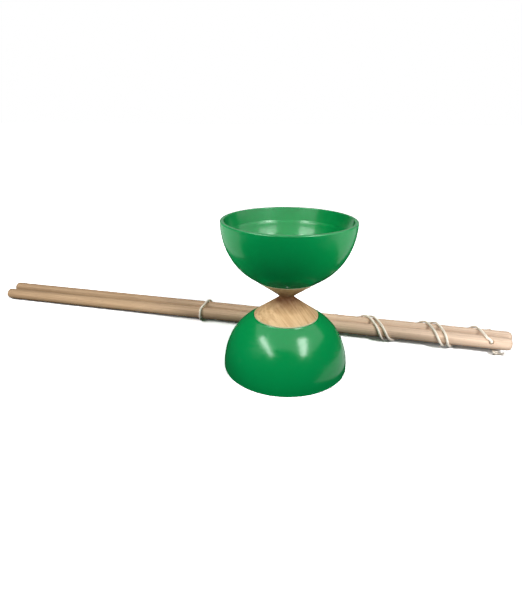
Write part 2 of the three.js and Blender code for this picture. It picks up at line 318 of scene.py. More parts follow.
def catmull_rom(points, samples):
    """A centripetal Catmull-Rom line through the points, with so many samples to each span."""
    points = np.array(points, float)
    padded = np.vstack((2 * points[0] - points[1], points, 2 * points[-1] - points[-2]))
    steps = np.sqrt(np.linalg.norm(np.diff(padded, axis=0), axis=1))
    line = []
    for i in range(len(points) - 1):
        p0, p1, p2, p3 = padded[i:i + 4]
        d0, d1, d2 = steps[i:i + 3]
        start = ((p1 - p0) / d0 - (p2 - p0) / (d0 + d1) + (p2 - p1) / d1) * d1
        end = ((p2 - p1) / d1 - (p3 - p1) / (d1 + d2) + (p3 - p2) / d2) * d1
        t = np.linspace(0, 1, samples, endpoint=False)[:, None]
        line.append(
            p1 + start * t
            + (3 * (p2 - p1) - 2 * start - end) * t ** 2
            + (2 * (p1 - p2) + start + end) * t ** 3
        )
    return np.vstack(line + [points[-1:]])


def distances(line):
    """How far along a line each of its points is."""
    return np.concatenate(([0], np.cumsum(np.linalg.norm(np.diff(line, axis=0), axis=1))))


def spaced(line, step):
    """Points at an even spacing of about step along a line."""
    along = distances(line)
    count = max(1, round(along[-1] / step))
    wanted = np.linspace(0, along[-1], count + 1)
    return np.column_stack([np.interp(wanted, along, line[:, k]) for k in range(line.shape[1])])


def axis_at(stick, x):
    """The point of a stick's axis at x."""
    along = x - stick["middle"].x
    return stick["middle"] + Vector((along, stick["drift"] * along, stick["rise"] * along))


def around(stick, x, angle, radius):
    """A point at an angle about a stick's axis, 0 towards -Y and 90 degrees up."""
    return axis_at(stick, x) + radius * Vector((0, -math.cos(angle), math.sin(angle)))


def winding_point(turns, x, tucked):
    """A point of the taut winding; a tucked stretch follows the rear stick into the groove."""
    front, rear = axis_at(FRONT_STICK, x), axis_at(REAR_STICK, x)
    lean = math.atan2(rear.z - front.z, rear.y - front.y)
    arc = math.pi * WRAP_RADIUS / LAP
    part = turns % 1
    top = math.pi / 2 - lean
    if part < arc:
        return around(FRONT_STICK, x, top - math.pi + part / arc * math.pi, WRAP_RADIUS)
    if part < 0.5:
        start, end = (around(stick, x, top, WRAP_RADIUS) for stick in (FRONT_STICK, REAR_STICK))
        return start.lerp(end, (part - arc) / (0.5 - arc))
    if part < 0.5 + arc or tucked:
        return around(REAR_STICK, x, top + (part - 0.5) / arc * math.pi, WRAP_RADIUS)
    foot = top + math.pi
    start, end = (around(stick, x, foot, WRAP_RADIUS) for stick in (REAR_STICK, FRONT_STICK))
    return start.lerp(end, (part - 0.5 - arc) / (0.5 - arc))


def winding_points(keys, tucked=False):
    """A leg of the winding: a smooth line on the unrolled surface, laid round the sticks."""
    line = catmull_rom([(turns * LAP, x) for turns, x in keys], samples=60)
    return [winding_point(girth / LAP, x, tucked) for girth, x in spaced(line, WINDING_STEP)]


def mouth_bend(stick, hole):
    """The bend from a hole's axis into the winding."""
    sideways = 1 / math.hypot(1, hole["slope"])
    bend = []
    for degrees in (0, 30, 60, 85):
        turned = math.radians(degrees)
        radius = WRAP_RADIUS - MOUTH_BEND * (1 - math.sin(turned))
        along = MOUTH_BEND * (1 - math.cos(turned))
        angle = hole["angle"] + along * sideways / radius
        bend.append(around(stick, hole["x"] + along * sideways * hole["slope"], angle, radius))
    return bend


def tail_points(tail):
    """A tail's points, moved from beside the front stick's axis into the set's frame."""
    return [axis_at(FRONT_STICK, x) + Vector((0, y, z)) for x, y, z in tail]


def string_route():
    """The whole string, from the front stick's knot to the rear stick's."""
    points = [
        *tail_points(FRONT_TAIL),
        *mouth_bend(FRONT_STICK, FRONT_HOLE),
        *winding_points(FIRST_LEG),
        *winding_points(TUCK, tucked=True)[1:],
        *winding_points(SECOND_LEG)[1:],
        *reversed(mouth_bend(REAR_STICK, REAR_HOLE)),
        *reversed(tail_points(REAR_TAIL)),
    ]
    return spaced(catmull_rom(points, samples=8), ROUTE_STEP)


# ---- twisted yarn -------------------------------------------------------------------------

PLIES = 3
PLY_GROOVE = 0.16
GROOVE_SHARPNESS = 1.5
LAY_LENGTH = 6.5 * MM
BLUNT_END = 0.12  # share of the section that is left at the very end
YARN_SIDES = 18
ACROSS = (0.3, 0.2, 0.9)  # a direction that no yarn starts in


def frames_along(line):
    """An untwisted pair of normals at each point of a line."""
    tangents = np.gradient(line, axis=0)
    tangents /= np.linalg.norm(tangents, axis=1)[:, None]
    normal = np.cross(tangents[0], ACROSS)
    normals = []
    for tangent in tangents:
        normal = normal - tangent * (normal @ tangent)
        normal /= np.linalg.norm(normal)
        normals.append(normal)
    normals = np.array(normals)
    return normals, np.cross(tangents, normals)


def yarn_mesh(line, radius, sides=YARN_SIDES, taper=0.0):
    """Vertices and faces of a tube with the section of a twisted yarn, its ends rounded off."""
    normals, binormals = frames_along(line)
    along = distances(line)
    section = 2 * math.pi * np.arange(sides) / sides
    groove = PLY_GROOVE * (1 - np.abs(np.cos(PLIES / 2 * section))) ** GROOVE_SHARPNESS
    lay = LAY_LENGTH * radius / STRING_RADIUS
    rows = [[tuple(line[0])]]
    for point, normal, binormal, s in zip(line, normals, binormals, along):
        from_end = min(s, along[-1] - s) / radius
        fullness = math.sqrt(max(BLUNT_END, 1 - max(0.0, 1 - from_end) ** 2))
        reach = radius * (fullness * (1 - taper * s / along[-1])) * (1 - groove)
        turned = section + 2 * math.pi * s / lay
        out = np.cos(turned)[:, None] * normal + np.sin(turned)[:, None] * binormal
        rows.append([tuple(place) for place in point + reach[:, None] * out])
    rows.append([tuple(line[-1])])
    return ringed(rows)


def joined(parts):
    """One list of vertices and one of faces from several."""
    vertices, faces = [], []
    for part_vertices, part_faces in parts:
        first = len(vertices)
        vertices.extend(part_vertices)
        faces.extend(tuple(first + i for i in face) for face in part_faces)
    return vertices, faces


def add_string(material):
    """The string, and the route that its middle takes."""
    route = string_route()
    string = make_object("string", *yarn_mesh(route, STRING_RADIUS), sharp_angle=math.pi)
    finish_piece(string, "hand_sticks", material, "string")
    return string, route


# ---- knots --------------------------------------------------------------------------------

KNOT_HALF = Vector((2.5, 2.15, 2.2)) * MM
KNOT_STRAND = 0.86 * MM
KNOT_CORE = 0.95 * MM
KNOT_TURN = math.radians(70)
FRAY_ROOT = Vector((1.2, 0, -0.7)) * MM
FRAY_FIBRES = 26
FRAY_LENGTH = 8 * MM
FRAY_SHORTEST = 0.62  # as a share of the length
FRAY_SPREAD = 0.16  # in radians
FRAY_LIFT = (0.02, 0.07)  # mean and deviation
FRAY_THICKNESS = (0.10, 0.19)  # radii in millimetres
FRAY_SCATTER = 0.42  # in millimetres
FRAY_CURL = 0.25
FIBRE_CLEARANCE = 1.05  # of a fibre's radius, above the table
FIBRE_SIDES = 6
FIBRE_TAPER = 0.5
FIBRE_STEP = 0.35 * MM
LOOP_STEP = 0.4 * MM
CORE_STEP = 0.3 * MM


def knot_loop(centre, turn):
    """The closed trefoil that an overhand knot draws up into."""
    t = np.linspace(0, 2 * math.pi, 121)
    loop = np.column_stack((
        np.sin(t) + 2 * np.sin(2 * t), np.cos(t) - 2 * np.cos(2 * t), -1.5 * np.sin(3 * t)))
    loop /= np.abs(loop).max(axis=0)
    room = np.array(KNOT_HALF) - KNOT_STRAND
    loop = loop @ np.array(Matrix.Rotation(turn, 3, "X").transposed())
    loop *= room / np.abs(loop).max(axis=0)
    return loop + np.array(centre)


def fray_fibre(root, heading, chance):
    """One untwisted fibre, bent a little and kept above the table."""
    spread = chance.gauss(0, FRAY_SPREAD)
    lift = chance.gauss(*FRAY_LIFT)
    length = FRAY_LENGTH * chance.uniform(FRAY_SHORTEST, 1.0)
    radius = chance.uniform(*FRAY_THICKNESS) * MM
    start = root + Vector((0, chance.gauss(0, FRAY_SCATTER), chance.gauss(0, FRAY_SCATTER))) * MM
    curl, rise = chance.gauss(0, FRAY_CURL), chance.gauss(0, FRAY_CURL)
    points = []
    for s in np.linspace(0, 1, 12).tolist():
        angle = heading + spread * s + curl * s * s * 0.5
        place = start + length * s * Vector((math.cos(angle), math.sin(angle), 0))
        place.z += length * (lift * s + rise * 0.1 * s * s)
        place.z = max(place.z, cad_low.z + radius * FIBRE_CLEARANCE)
        points.append(tuple(place))
    line = spaced(catmull_rom(points, samples=3), FIBRE_STEP)
    return yarn_mesh(line, radius, sides=FIBRE_SIDES, taper=FIBRE_TAPER)


def fray_fibres(root, heading, seed):
    """The untwisted fibres of a cut end, fanning out over the table."""
    chance = random.Random(seed)
    return [fray_fibre(root, heading, chance) for _ in range(FRAY_FIBRES)]


def add_knot(name, tail_end, heading, seed, material):
    """A stopper knot with its frayed end, in the CAD knot's place."""
    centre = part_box(name)[0] + KNOT_HALF
    root = centre + FRAY_ROOT
    core = spaced(np.array([tuple(tail_end), tuple(centre), tuple(root)]), CORE_STEP)
    loop = spaced(knot_loop(centre, KNOT_TURN), LOOP_STEP)
    parts = [yarn_mesh(loop, KNOT_STRAND), yarn_mesh(core, KNOT_CORE)]
    parts += fray_fibres(root, heading, seed)
    knot = make_object(name, *joined(parts), sharp_angle=math.pi)
    return finish_piece(knot, "hand_sticks", material, name)


# ---- diabolo ------------------------------------------------------------------------------

CUP_SEGMENTS = 256
SPOOL_SEGMENTS = 192
WASHER_SEGMENTS = 96
SCREW_SEGMENTS = 48
CONE_STEPS = 40
CONE_CROWDING = 0.8  # under 1, the cone's rings crowd towards the waist
DOME_STEPS = 14
SHANK_STEPS = 190


def bowl_arc(radius, depth, first, last, steps):
    """A superellipse arc from one angle in degrees to another, as (radius, height, fillet)."""
    power = 2 / BOWL_POWER
    arc = []
    for i in range(steps + 1):
        angle = math.radians(first + (last - first) * i / steps)
        arc.append((radius * math.cos(angle) ** power, depth * math.sin(angle) ** power, 0))
    return arc


def cup_outline():
    """A cup with its rim at height 0 and its floor above."""
    seat = CUP_HEIGHT - SEAT_DEPTH
    floor = seat - FLOOR_THICKNESS
    rim_inside = CUP_RADIUS - RIM_WALL
    inner = bowl_arc(INNER_RADIUS, INNER_DEPTH, first=54, last=13.6, steps=30)
    return rounded([
        (rim_inside, 0, RIM_INNER_ROUND),
        (CUP_RADIUS, 0, LIP_ROUND),
        *bowl_arc(CUP_RADIUS, BOWL_DEPTH, first=4, last=59.6, steps=48),
        (COLLAR_RADIUS, CUP_HEIGHT, COLLAR_OUTER_ROUND),
        (SEAT_RADIUS, CUP_HEIGHT, COLLAR_INNER_ROUND),
        (SEAT_RADIUS, seat, 0),
        (SCREW_HOLE_RADIUS, seat, 0),
        (SCREW_HOLE_RADIUS, floor, SCREW_HOLE_ROUND),
        (FLOOR_RADIUS, floor, FLOOR_ROUND),
        *inner,
        (inner[-1][0] + LEDGE_STEP, LEDGE_DEPTH + LEDGE_FALL, LEDGE_OUTER_ROUND),
        (rim_inside - RIM_DRAFT, LEDGE_DEPTH, LEDGE_INNER_ROUND),
    ])


def foot_of(name, flip=False):
    """The middle of the underside of a CAD node's box, or of its top where flip is true."""
    low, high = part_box(name)
    return Vector(((low.x + high.x) / 2, (low.y + high.y) / 2, high.z if flip else low.z))


def add_cup(name, flip, material):
    """A cup; flip is true where it opens upwards."""
    cup = lathe(name, cup_outline(), CUP_SEGMENTS, foot_of(name, flip), flip=flip)
    return finish_piece(cup, "diabolo", material, name)


def spool_outline():
    """Radius and height of the spool from the blind end of one pilot hole to the other."""
    end = (cad_high.z - cad_low.z) / 2 - CUP_HEIGHT + SEAT_DEPTH - GAP
    foot = end - SEAT_DEPTH - RIM_LAND + GAP
    radius = SEAT_RADIUS - GAP
    flare = (radius - WAIST_RADIUS) / (math.hypot(foot, WAIST_ROUND) - WAIST_ROUND)
    heights = [foot * (1 - (i / CONE_STEPS) ** CONE_CROWDING) for i in range(CONE_STEPS + 1)]
    cone = [(WAIST_RADIUS + flare * (math.hypot(z, WAIST_ROUND) - WAIST_ROUND), -z) for z in heights]
    half = [
        (0, PILOT_DEPTH - end),
        (PILOT_RADIUS, PILOT_DEPTH - end - PILOT_POINT),
        (PILOT_RADIUS, -end),
        (radius - SPOOL_CHAMFER, -end),
        (radius - SPOOL_CHAMFER_BULGE, SPOOL_CHAMFER_BULGE - end),
        (radius, SPOOL_CHAMFER - end),
        *cone,
    ]
    return half + [(r, -z) for r, z in reversed(half[:-1])]


def add_spool(material):
    """The wooden spool between the cups."""
    low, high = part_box("spool")
    spool = lathe("spool", spool_outline(), SPOOL_SEGMENTS, (low + high) / 2, closed=False)
    return finish_piece(spool, "diabolo", material, "spool")


def add_washer(name, material):
    """A flat washer under a screw's head."""
    outline = rounded([
        (WASHER_HOLE_RADIUS, 0, WASHER_EDGE),
        (WASHER_RADIUS, 0, WASHER_EDGE),
        (WASHER_RADIUS, WASHER_THICKNESS, WASHER_EDGE),
        (WASHER_HOLE_RADIUS, WASHER_THICKNESS, WASHER_EDGE),
    ])
    washer = lathe(name, outline, WASHER_SEGMENTS, foot_of(name))
    return finish_piece(washer, "diabolo", material, name)


def thread_radius(z, angle):
    """Radius of the helical thread at a height above the head's underside."""
    end = SHANK_LENGTH - POINT_LENGTH
    if z > end:
        return SHANK_RADIUS * (SHANK_LENGTH - z) / POINT_LENGTH
    if z < THREAD_START:
        return SHANK_RADIUS
    phase = (z / THREAD_PITCH - angle / (2 * math.pi)) % 1
    ridge = max(0.0, 1 - abs(phase - 0.5) / THREAD_HALF)
    fade = min(1.0, (z - THREAD_START) / THREAD_PITCH, (end - z) / THREAD_PITCH)
    return SHANK_RADIUS + (THREAD_RADIUS - SHANK_RADIUS) * ridge * max(0.0, fade)


def screw_rows(seat, direction):
    """Rings of the head and then of the shank, from the seat under the head."""
    dome = [(HEAD_RADIUS * math.sin(a), -HEAD_HEIGHT * (HEAD_SIDE + HEAD_DOME * math.cos(a)))
            for a in np.linspace(0, math.pi / 2, DOME_STEPS).tolist()]
    head = [*dome, (HEAD_RADIUS, -HEAD_EDGE), (HEAD_RADIUS - HEAD_EDGE, 0)]
    rows = [circle(seat, radius, seat.z + direction * z, SCREW_SEGMENTS) for radius, z in head]
    angles = [2 * math.pi * k / SCREW_SEGMENTS for k in range(SCREW_SEGMENTS)]
    for z in np.linspace(0, SHANK_LENGTH - POINT_TIP, SHANK_STEPS):
        reaches = [(a, thread_radius(z, a)) for a in angles]
        rows.append([(seat.x + reach * math.cos(a), seat.y + reach * math.sin(a), seat.z + direction * z)
                     for a, reach in reaches])
    rows.append([(seat.x, seat.y, seat.z + direction * SHANK_LENGTH)])
    return rows


def add_screw(name, flip, material):
    """A pan-head screw with a crossed slot and a helical thread, pointing into the spool."""
    direction = -1 if flip else 1
    crown = foot_of(name, flip)
    seat = crown + Vector((0, 0, direction * HEAD_HEIGHT))
    screw = make_object(name, *ringed(screw_rows(seat, direction)))
    for length, width in ((DRIVE_LENGTH, DRIVE_WIDTH), (DRIVE_WIDTH, DRIVE_LENGTH)):
        cut(screw, drive_cutter(crown, length, width))
    screw.data.set_sharp_from_angle(angle=SHARP_ANGLE)
    return finish_piece(screw, "diabolo", material, name)


def drive_cutter(centre, length, width):
    """A slot's cutter, narrower at its bottom, on both sides of the head's top."""
    vertices = []
    for z, narrow in ((-DRIVE_DEPTH, DRIVE_NARROWING), (0, 1.0), (DRIVE_DEPTH, DRIVE_NARROWING)):
        for sx, sy in ((-1, -1), (1, -1), (1, 1), (-1, 1)):
            place = Vector((sx * length, sy * width, 0)) * (0.5 * narrow)
            vertices.append(centre + place + Vector((0, 0, z)))
    rings = [[0, 1, 2, 3], [4, 5, 6, 7], [8, 9, 10, 11]]
    faces = ring_faces(zip(rings, rings[1:])) + [(3, 2, 1, 0), (8, 9, 10, 11)]
    return make_object("cutter", vertices, faces)


# ---- hand sticks --------------------------------------------------------------------------

STICK_SEGMENTS = 72
STICK_SHARP_ANGLE = math.radians(50)
HOLE_SEGMENTS = 40
END_STEPS = 9
STATION_STEP = 4 * MM
HOLE_STATION_STEP = 1 * MM
HOLE_STATION_REACH = 8 * MM
WAVE_TURNS = (0.2, 1.6)  # half turns of the unevenness from a stick's middle to its end
FLARE_STEPS = 8
FLARE_START = 0.1
CUTTER_RISE = 1 * MM
CUTTER_LIP = 0.4 * MM


def stick_stations(hole_x):
    """Distances along a stick's straight part where it has a ring: closer together at the hole."""
    end = STICK_LENGTH / 2 - STICK_END_ROUND
    near, far = hole_x - HOLE_STATION_REACH, hole_x + HOLE_STATION_REACH
    stations = set(np.round(np.arange(-end, end, STATION_STEP), 6))
    stations |= set(np.round(np.arange(near, far, HOLE_STATION_STEP), 6))
    return sorted(s for s in stations if abs(s) < end)


def stick_profile(hole_x):
    """Radius and distance along a stick, from its left end to its right end."""
    half = STICK_LENGTH / 2
    end = [(STICK_RADIUS - STICK_END_ROUND * (1 - math.sin(a)), half - STICK_END_ROUND * (1 - math.cos(a)))
           for a in np.linspace(0, math.pi / 2, END_STEPS).tolist()]
    return [
        (0.0, -half),
        *[(radius, -s) for radius, s in end],
        *[(STICK_RADIUS, s) for s in stick_stations(hole_x)],
        *reversed(end),
        (0.0, half),
    ]


def stick_waves(seed):
    """Slow waves of a stick's unevenness, as (rate along, phase, lobes around)."""
    chance = random.Random(seed)
    half = STICK_LENGTH / 2
    return [(chance.uniform(*WAVE_TURNS) / half * math.pi, chance.uniform(0, 2 * math.pi), lobes)
            for lobes in range(4)]


def stick_row(radius, s, waves):
    """A ring about a stick's axis, or one point where there is no radius."""
    row = []
    for k in range(STICK_SEGMENTS if radius else 1):
        angle = 2 * math.pi * k / STICK_SEGMENTS
        uneven = sum(math.sin(rate * s + phase + lobes * angle) for rate, phase, lobes in waves)
        reach = radius * (1 - STICK_UNEVENNESS * (2 + uneven / 2))
        row.append((s, reach * math.cos(angle), reach * math.sin(angle)))
    return row


def add_stick(name, stick, hole, seed, material):
    """A dowel, very slightly uneven, with rounded ends and a cross hole with flared mouths."""
    hole_x = hole["x"] - stick["middle"].x
    waves = stick_waves(seed)
    rows = [stick_row(radius, s, waves) for radius, s in stick_profile(hole_x)]
    dowel = make_object(name, *ringed(rows))
    cut(dowel, hole_cutter(hole_x, hole["angle"]))
    drift = Matrix.Rotation(math.atan(stick["drift"]), 4, "Z")
    rise = Matrix.Rotation(-math.atan(stick["rise"]), 4, "Y")
    dowel.data.transform(Matrix.Translation(stick["middle"]) @ (drift @ rise))
    dowel.data.set_sharp_from_angle(angle=STICK_SHARP_ANGLE)
    return finish_piece(dowel, "hand_sticks", material, name)


def hole_cutter(x, angle):
    """A drilled cross hole's cutter, flared in a smooth curve at both mouths."""
    flare = []
    for a in np.linspace(FLARE_START, math.pi / 2, FLARE_STEPS).tolist():
        radius = MOUTH_RADIUS - (MOUTH_RADIUS - HOLE_RADIUS) * math.sin(a) ** FLARE_POWER
        flare.append((radius, STICK_RADIUS - MOUTH_DEPTH * (1 - math.cos(a)) ** FLARE_POWER))
    top = STICK_RADIUS + CUTTER_RISE
    upper = [(0, top), (MOUTH_RADIUS + CUTTER_LIP, top), *flare]
    outline = upper + [(r, -z) for r, z in reversed(upper)]
    cutter = lathe("cutter", outline, HOLE_SEGMENTS, Vector((0, 0, 0)), closed=False)
    # the cutter's axis turns from up to the mouth's angle, 0 towards -Y and 90 degrees up
    turn = Matrix.Rotation(math.pi / 2 - angle, 4, "X")
    cutter.data.transform(Matrix.Translation((x, 0, 0)) @ turn)
    return cutter


# ---- materials ----------------------------------------------------------------------------


class Look:
    """A Principled material, with short ways to add and join its nodes."""

    def __init__(self, name, **values):
        self.material = bpy.data.materials.new(name)
        self.material.use_nodes = True
        self.tree = self.material.node_tree
        self.shader = self.tree.nodes["Principled BSDF"]
        for socket, value in values.items():
            self.shader.inputs[socket.replace("_", " ")].default_value = value
        self.place = self.add("ShaderNodeTexCoord").outputs["Object"]

    def add(self, kind, inputs=(), **settings):
        """A node with some settings; inputs are values or other nodes' outputs, by socket."""
        node = self.tree.nodes.new(kind)
        for key, value in settings.items():
            setattr(node, key, value)
        for socket, value in dict(inputs).items():
            if isinstance(value, bpy.types.NodeSocket):
                self.tree.links.new(value, node.inputs[socket])
            else:
                node.inputs[socket].default_value = value
        return node

    def mapped(self, scale, rotation=(0, 0, 0)):
        """Object coordinates turned and scaled."""
        return self.add("ShaderNodeMapping", {
            "Vector": self.place, "Rotation": rotation, "Scale": scale,
        }).outputs["Vector"]

    def axis(self, name):
        """One of the object coordinates, by its letter."""
        return self.add("ShaderNodeSeparateXYZ", {"Vector": self.place}).outputs[name]

    def remapped(self, value, start, end, first=0.0, last=1.0):
        """A value's way from start to end, as a number from first to last."""
        return self.add("ShaderNodeMapRange", {
            "Value": value, "From Min": start, "From Max": end, "To Min": first, "To Max": last,
        }).outputs["Result"]

    def noise(self, vector, scale, detail=4.0, roughness=0.55):
        """Soft noise from 0 to 1."""
        return self.add("ShaderNodeTexNoise", {
            "Vector": vector, "Scale": scale, "Detail": detail, "Roughness": roughness,
        }).outputs["Fac"]

    def ramp(self, factor, *stops):
        """A colour ramp; stops are (position, colour or grey)."""
        node = self.add("ShaderNodeValToRGB", {"Fac": factor})
        elements = node.color_ramp.elements
        while len(elements) < len(stops):
            elements.new(0.5)
        for element, (position, colour) in zip(elements, stops):
            element.position = position
            element.color = (*colour, 1) if isinstance(colour, tuple) else (colour,) * 3 + (1,)
        return node.outputs["Color"]

    def math(self, operation, a, b=0.0):
        """A sum on one or two values."""
        return self.add("ShaderNodeMath", {0: a, 1: b}, operation=operation).outputs[0]

    def mix(self, factor, a, b, blend="MIX"):
        """A blend of two colours."""
        node = self.add("ShaderNodeMix", data_type="RGBA", blend_type=blend)
        for index, value in ((0, factor), (6, a), (7, b)):
            if isinstance(value, bpy.types.NodeSocket):
                self.tree.links.new(value, node.inputs[index])
            elif isinstance(value, tuple):
                node.inputs[index].default_value = (*value, 1)
            else:
                node.inputs[index].default_value = value
        return node.outputs[2]

    def bump(self, height, strength, distance, normal=None):
        """A normal tilted by a height, on top of another normal where one is given."""
        inputs = {"Height": height, "Strength": strength, "Distance": distance}
        if normal is not None:
            inputs["Normal"] = normal
        return self.add("ShaderNodeBump", inputs).outputs["Normal"]

    def set(self, **sockets):
        """Joins outputs to the shader's sockets."""
        for socket, output in sockets.items():
            self.tree.links.new(output, self.shader.inputs[socket.replace("_", " ")])


GREEN_DEEP = (0.0, 0.315, 0.073)
GREEN_BRIGHT = (0.0, 0.345, 0.088)
GREEN_WORN = (0.04, 0.36, 0.14)

STICK_EARLY = (0.74, 0.56, 0.395)
STICK_LATE = (0.46, 0.31, 0.20)
STICK_PORE = (0.26, 0.15, 0.09)
# painted light and shade along the sticks: darker and yellower to the left, lighter and pinker to the
# right, standing in for how the light falls on them
STICK_PAINTED_SHADING = (
    (0.0, (0.66, 0.59, 0.48)), (0.3, (0.72, 0.66, 0.55)),
    (0.5, (0.94, 0.88, 0.82)), (1.0, (1.20, 1.23, 1.34)),
)
PAINTED_SHADING_REACH = 0.24  # metres each way from the set's middle

SPOOL_EARLY = (0.93, 0.66, 0.36)
SPOOL_LATE = (0.58, 0.33, 0.14)
SPOOL_PORE = (0.36, 0.19, 0.08)
SPOOL_RUB_AND_SHADE = (0.26, 0.18, 0.14)
# a painted highlight: the pale line along the spool's edges where they meet the cups
SPOOL_RIM_HIGHLIGHT = (0.86, 0.80, 0.55)
# the band of painted shade and string rub round the waist: it reaches further up the upper cone, under the
# upper cup, and its edge is ragged
RUB_AND_SHADE_ABOVE = 0.45
RUB_AND_SHADE_RAGGED = 0.004
RUB_AND_SHADE_FULL = 0.0035
RUB_AND_SHADE_GONE = 0.0105
RIM_HIGHLIGHT_FROM_WAIST = 0.0134

COTTON_SHADED = (0.97, 0.86, 0.72)
COTTON_WHITE = (1.0, 0.93, 0.81)
COTTON_SOILED = (0.72, 0.60, 0.45)

ZINC_DARK = (0.52, 0.53, 0.55)
ZINC_LIGHT = (0.66, 0.67, 0.68)


def green_plastic():
    """Glossy moulded plastic with faint rubbing and fine scratches."""
    look = Look("green_plastic", IOR=1.49, Specular_IOR_Level=0.5)
    cloud = look.noise(look.place, 28.0, detail=3)
    colour = look.ramp(cloud, (0.3, GREEN_DEEP), (0.7, GREEN_BRIGHT))
    rub = look.noise(look.mapped((1, 1, 5)), 160.0, detail=6, roughness=0.7)
    worn = look.ramp(rub, (0.62, 0.0), (0.74, 0.06))
    colour = look.mix(worn, colour, GREEN_WORN)
    scratch = look.noise(look.mapped((260, 20, 900), rotation=(0.4, 0.9, 0.3)), 1.0, detail=2)
    gloss = look.ramp(scratch, (0.35, 0.15), (0.72, 0.25))
    ripple = look.noise(look.place, 60.0, detail=2)
    fine = look.noise(look.place, 2600.0, detail=2)
    normal = look.bump(ripple, strength=0.12, distance=0.6 * MM)
    normal = look.bump(fine, strength=0.03, distance=0.1 * MM, normal=normal)
    look.set(Base_Color=colour, Roughness=gloss, Normal=normal)
    return look.material


def wood_tone(look, streaks, stretched, early, late, ring_width, ring_share, streak_share):
    """The wood's colour from its rings, streaks and broad clouds."""
    wander = look.noise(stretched(6, 30, 30), 1.0, detail=3)
    rings = look.add("ShaderNodeTexWave", {
        "Vector": stretched(0.02, 1, 1), "Scale": 1 / ring_width / 3.0, "Distortion": 2.4,
        "Detail": 3.0, "Detail Scale": 60.0, "Detail Roughness": 0.5,
    }, wave_type="RINGS", rings_direction="X", wave_profile="SAW").outputs["Fac"]
    broad = look.noise(stretched(5, 130, 130), 1.0, detail=3)
    tone = look.mix(look.ramp(rings, (0.0, 0.0), (1.0, ring_share)), early, late)
    tone = look.mix(look.ramp(streaks, (0.38, 0.0), (0.64, streak_share)), tone, late)
    tone = look.mix(look.ramp(broad, (0.35, 0.0), (0.7, 0.45)), tone, early)
    return look.mix(look.ramp(wander, (0.4, 0.0), (0.75, 0.25)), tone, late)


def wood(name, early, late, pore, grain, pith, ring_width, ring_share, streak_share, fineness, rough):
    """Bare wood's look and its colour, from its grain's direction and its pith's place."""
    look = Look(name, IOR=1.45, Specular_IOR_Level=0.35)
    base = look.add("ShaderNodeMapping", {
        "Vector": look.place, "Location": pith,
        "Rotation": Vector(grain).rotation_difference(Vector((1, 0, 0))).to_euler(),
    }).outputs["Vector"]

    def stretched(x, y, z):
        """The grain's own coordinates, scaled."""
        return look.add("ShaderNodeMapping", {"Vector": base, "Scale": (x, y, z)}).outputs["Vector"]

    streaks = look.noise(stretched(14, fineness, fineness), 1.0, detail=5, roughness=0.6)
    tone = wood_tone(look, streaks, stretched, early, late, ring_width, ring_share, streak_share)
    specks = look.noise(stretched(160, 2600, 2600), 1.0, detail=2)
    pores = look.ramp(specks, (0.66, 0.0), (0.74, 0.75))
    normal = look.bump(streaks, strength=0.35, distance=0.12 * MM)
    normal = look.bump(pores, strength=-0.5, distance=0.06 * MM, normal=normal)
    look.set(Roughness=look.ramp(streaks, (0.3, rough - 0.06), (0.7, rough + 0.10)), Normal=normal)
    return look, look.mix(pores, tone, pore)


def stick_wood():
    """Raw dowel: straight grain along X, with painted shade that darkens and yellows it towards the left
    end and painted light that brightens it towards the right.
    """
    look, tone = wood(
        "stick_wood", STICK_EARLY, STICK_LATE, STICK_PORE, grain=(1, 0, 0), pith=(0, -0.030, 0.012),
        ring_width=1.6 * MM, ring_share=0.6, streak_share=0.85, fineness=800, rough=0.58)
    along = look.remapped(look.axis("X"), -PAINTED_SHADING_REACH, PAINTED_SHADING_REACH)
    # the painted light and shade along the sticks, multiplied onto the wood's colour
    painted_shading = look.ramp(along, *STICK_PAINTED_SHADING)
    look.set(Base_Color=look.mix(1.0, tone, painted_shading, blend="MULTIPLY"))
    return look.material


def spool_wood():
    """Turned wood whose grain slants across the spool, darkened round the waist and up the upper cone by
    painted shade and the string's rub, with a painted highlight along its edges by the cups.
    """
    look, tone = wood(
        "spool_wood", SPOOL_EARLY, SPOOL_LATE, SPOOL_PORE, grain=(0.69, -0.53, -0.49),
        pith=(0, 0.012, 0.02), ring_width=2.2 * MM, ring_share=0.12, streak_share=0.9,
        fineness=480, rough=0.42)
    above = look.math("SUBTRACT", look.axis("Z"), cad_high.z / 2)
    upwards = look.math("MULTIPLY", above, RUB_AND_SHADE_ABOVE)
    from_waist = look.math("MAXIMUM", upwards, look.math("MULTIPLY", above, -1.0))
    ragged = look.math("MULTIPLY", look.noise(look.place, 260.0), RUB_AND_SHADE_RAGGED)
    # painted shade and string rub: darkest at the waist, fading away from it, and reaching further up the
    # upper cone
    rub = look.remapped(look.math("ADD", from_waist, ragged), RUB_AND_SHADE_FULL, RUB_AND_SHADE_GONE, 1.0, 0.0)
    tone = look.mix(rub, tone, look.mix(1.0, tone, SPOOL_RUB_AND_SHADE, blend="MULTIPLY"))
    # painted highlight on the spool's edges next to the cups, far from the waist
    rim_highlight = look.math("GREATER_THAN", look.math("ABSOLUTE", above), RIM_HIGHLIGHT_FROM_WAIST)
    look.set(Base_Color=look.mix(rim_highlight, tone, SPOOL_RIM_HIGHLIGHT))
    return look.material


def cotton():
    """Loosely spun cotton: fine fibres and slight soiling."""
    look = Look("cotton_string", Roughness=0.92, Specular_IOR_Level=0.2, Sheen_Weight=0.35,
                Sheen_Roughness=0.5)
    fibres = look.noise(look.place, 5200.0, detail=3, roughness=0.7)
    soil = look.noise(look.place, 160.0, detail=3)
    colour = look.ramp(fibres, (0.3, COTTON_SHADED), (0.62, COTTON_WHITE))
    colour = look.mix(look.ramp(soil, (0.5, 0.0), (0.8, 0.25)), colour, COTTON_SOILED)
    look.set(Base_Color=colour, Normal=look.bump(fibres, strength=0.4, distance=0.1 * MM))
    return look.material


